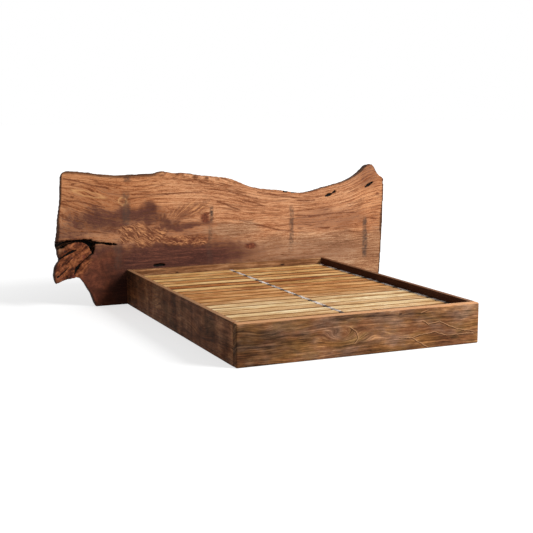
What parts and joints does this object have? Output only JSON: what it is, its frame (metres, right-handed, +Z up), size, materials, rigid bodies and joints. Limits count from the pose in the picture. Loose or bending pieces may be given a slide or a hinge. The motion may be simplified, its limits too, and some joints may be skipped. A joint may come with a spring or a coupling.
{
  "type": "live edge bed",
  "caption": "Low wooden bed with a wide live edge slab headboard, plain box rails, and a lift-out slat roll on ledgers and a centre beam with levelling feet.",
  "frame": {"origin": "on the floor, under the middle of the bed's overall box", "axes": "+X across the bed to the right seen from the foot, +Y towards the headboard, +Z up"},
  "size_m": [2.6924, 2.19, 0.9901],
  "materials": {
    "headboard_wood": "oiled natural slab with figured grain",
    "rail_wood": "oiled brown boards",
    "slat_wood": "bare planed pine",
    "framing_wood": "bare planed softwood",
    "webbing": "woven grey tape",
    "steel": "zinc plated",
    "pad_plastic": "moulded"
  },
  "bodies": {
    "bed_frame": {"headboard_slab": "headboard_wood", "left_side_rail": "rail_wood", "right_side_rail": "rail_wood", "foot_rail": "rail_wood", "head_rail": "rail_wood", "left_slat_ledger": "framing_wood", "right_slat_ledger": "framing_wood", "centre_beam": "framing_wood", "head_beam_saddle": "steel", "foot_beam_saddle": "steel", "centre_leg_1": "framing_wood", "centre_leg_2": "framing_wood", "centre_leg_3": "framing_wood", "head_left_corner_post": "framing_wood", "head_right_corner_post": "framing_wood", "foot_left_corner_post": "framing_wood", "foot_right_corner_post": "framing_wood", "leg_inserts": "steel", "corner_screws": "steel", "ledger_screws": "steel", "saddle_screws": "steel", "leg_screws": "steel", "headboard_bolts": "steel", "headboard_washers": "steel"},
    "slat_roll": {"slat_01": "slat_wood", "slat_02": "slat_wood", "slat_03": "slat_wood", "slat_04": "slat_wood", "slat_05": "slat_wood", "slat_06": "slat_wood", "slat_07": "slat_wood", "slat_08": "slat_wood", "slat_09": "slat_wood", "slat_10": "slat_wood", "slat_11": "slat_wood", "slat_12": "slat_wood", "slat_13": "slat_wood", "slat_14": "slat_wood", "slat_15": "slat_wood", "slat_16": "slat_wood", "slat_17": "slat_wood", "slat_18": "slat_wood", "slat_19": "slat_wood", "left_tape": "webbing", "centre_tape": "webbing", "right_tape": "webbing", "tape_tacks": "steel"},
    "levelling_foot_1": {"levelling_pad_1": "pad_plastic", "levelling_stud_1": "steel"},
    "levelling_foot_2": {"levelling_pad_2": "pad_plastic", "levelling_stud_2": "steel"},
    "levelling_foot_3": {"levelling_pad_3": "pad_plastic", "levelling_stud_3": "steel"}
  },
  "joints": [
    {"name": "slat_roll_lift", "type": "slide", "parent": "bed_frame", "child": "slat_roll", "axis": [0, 0, 1], "range_m": [0, 0.35]},
    {"name": "levelling_foot_1_screw", "type": "slide", "parent": "bed_frame", "child": "levelling_foot_1", "axis": [0, 0, 1], "range_m": [-0.008, 0.008]},
    {"name": "levelling_foot_2_screw", "type": "slide", "parent": "bed_frame", "child": "levelling_foot_2", "axis": [0, 0, 1], "range_m": [-0.008, 0.008]},
    {"name": "levelling_foot_3_screw", "type": "slide", "parent": "bed_frame", "child": "levelling_foot_3", "axis": [0, 0, 1], "range_m": [-0.008, 0.008]}
  ]
}
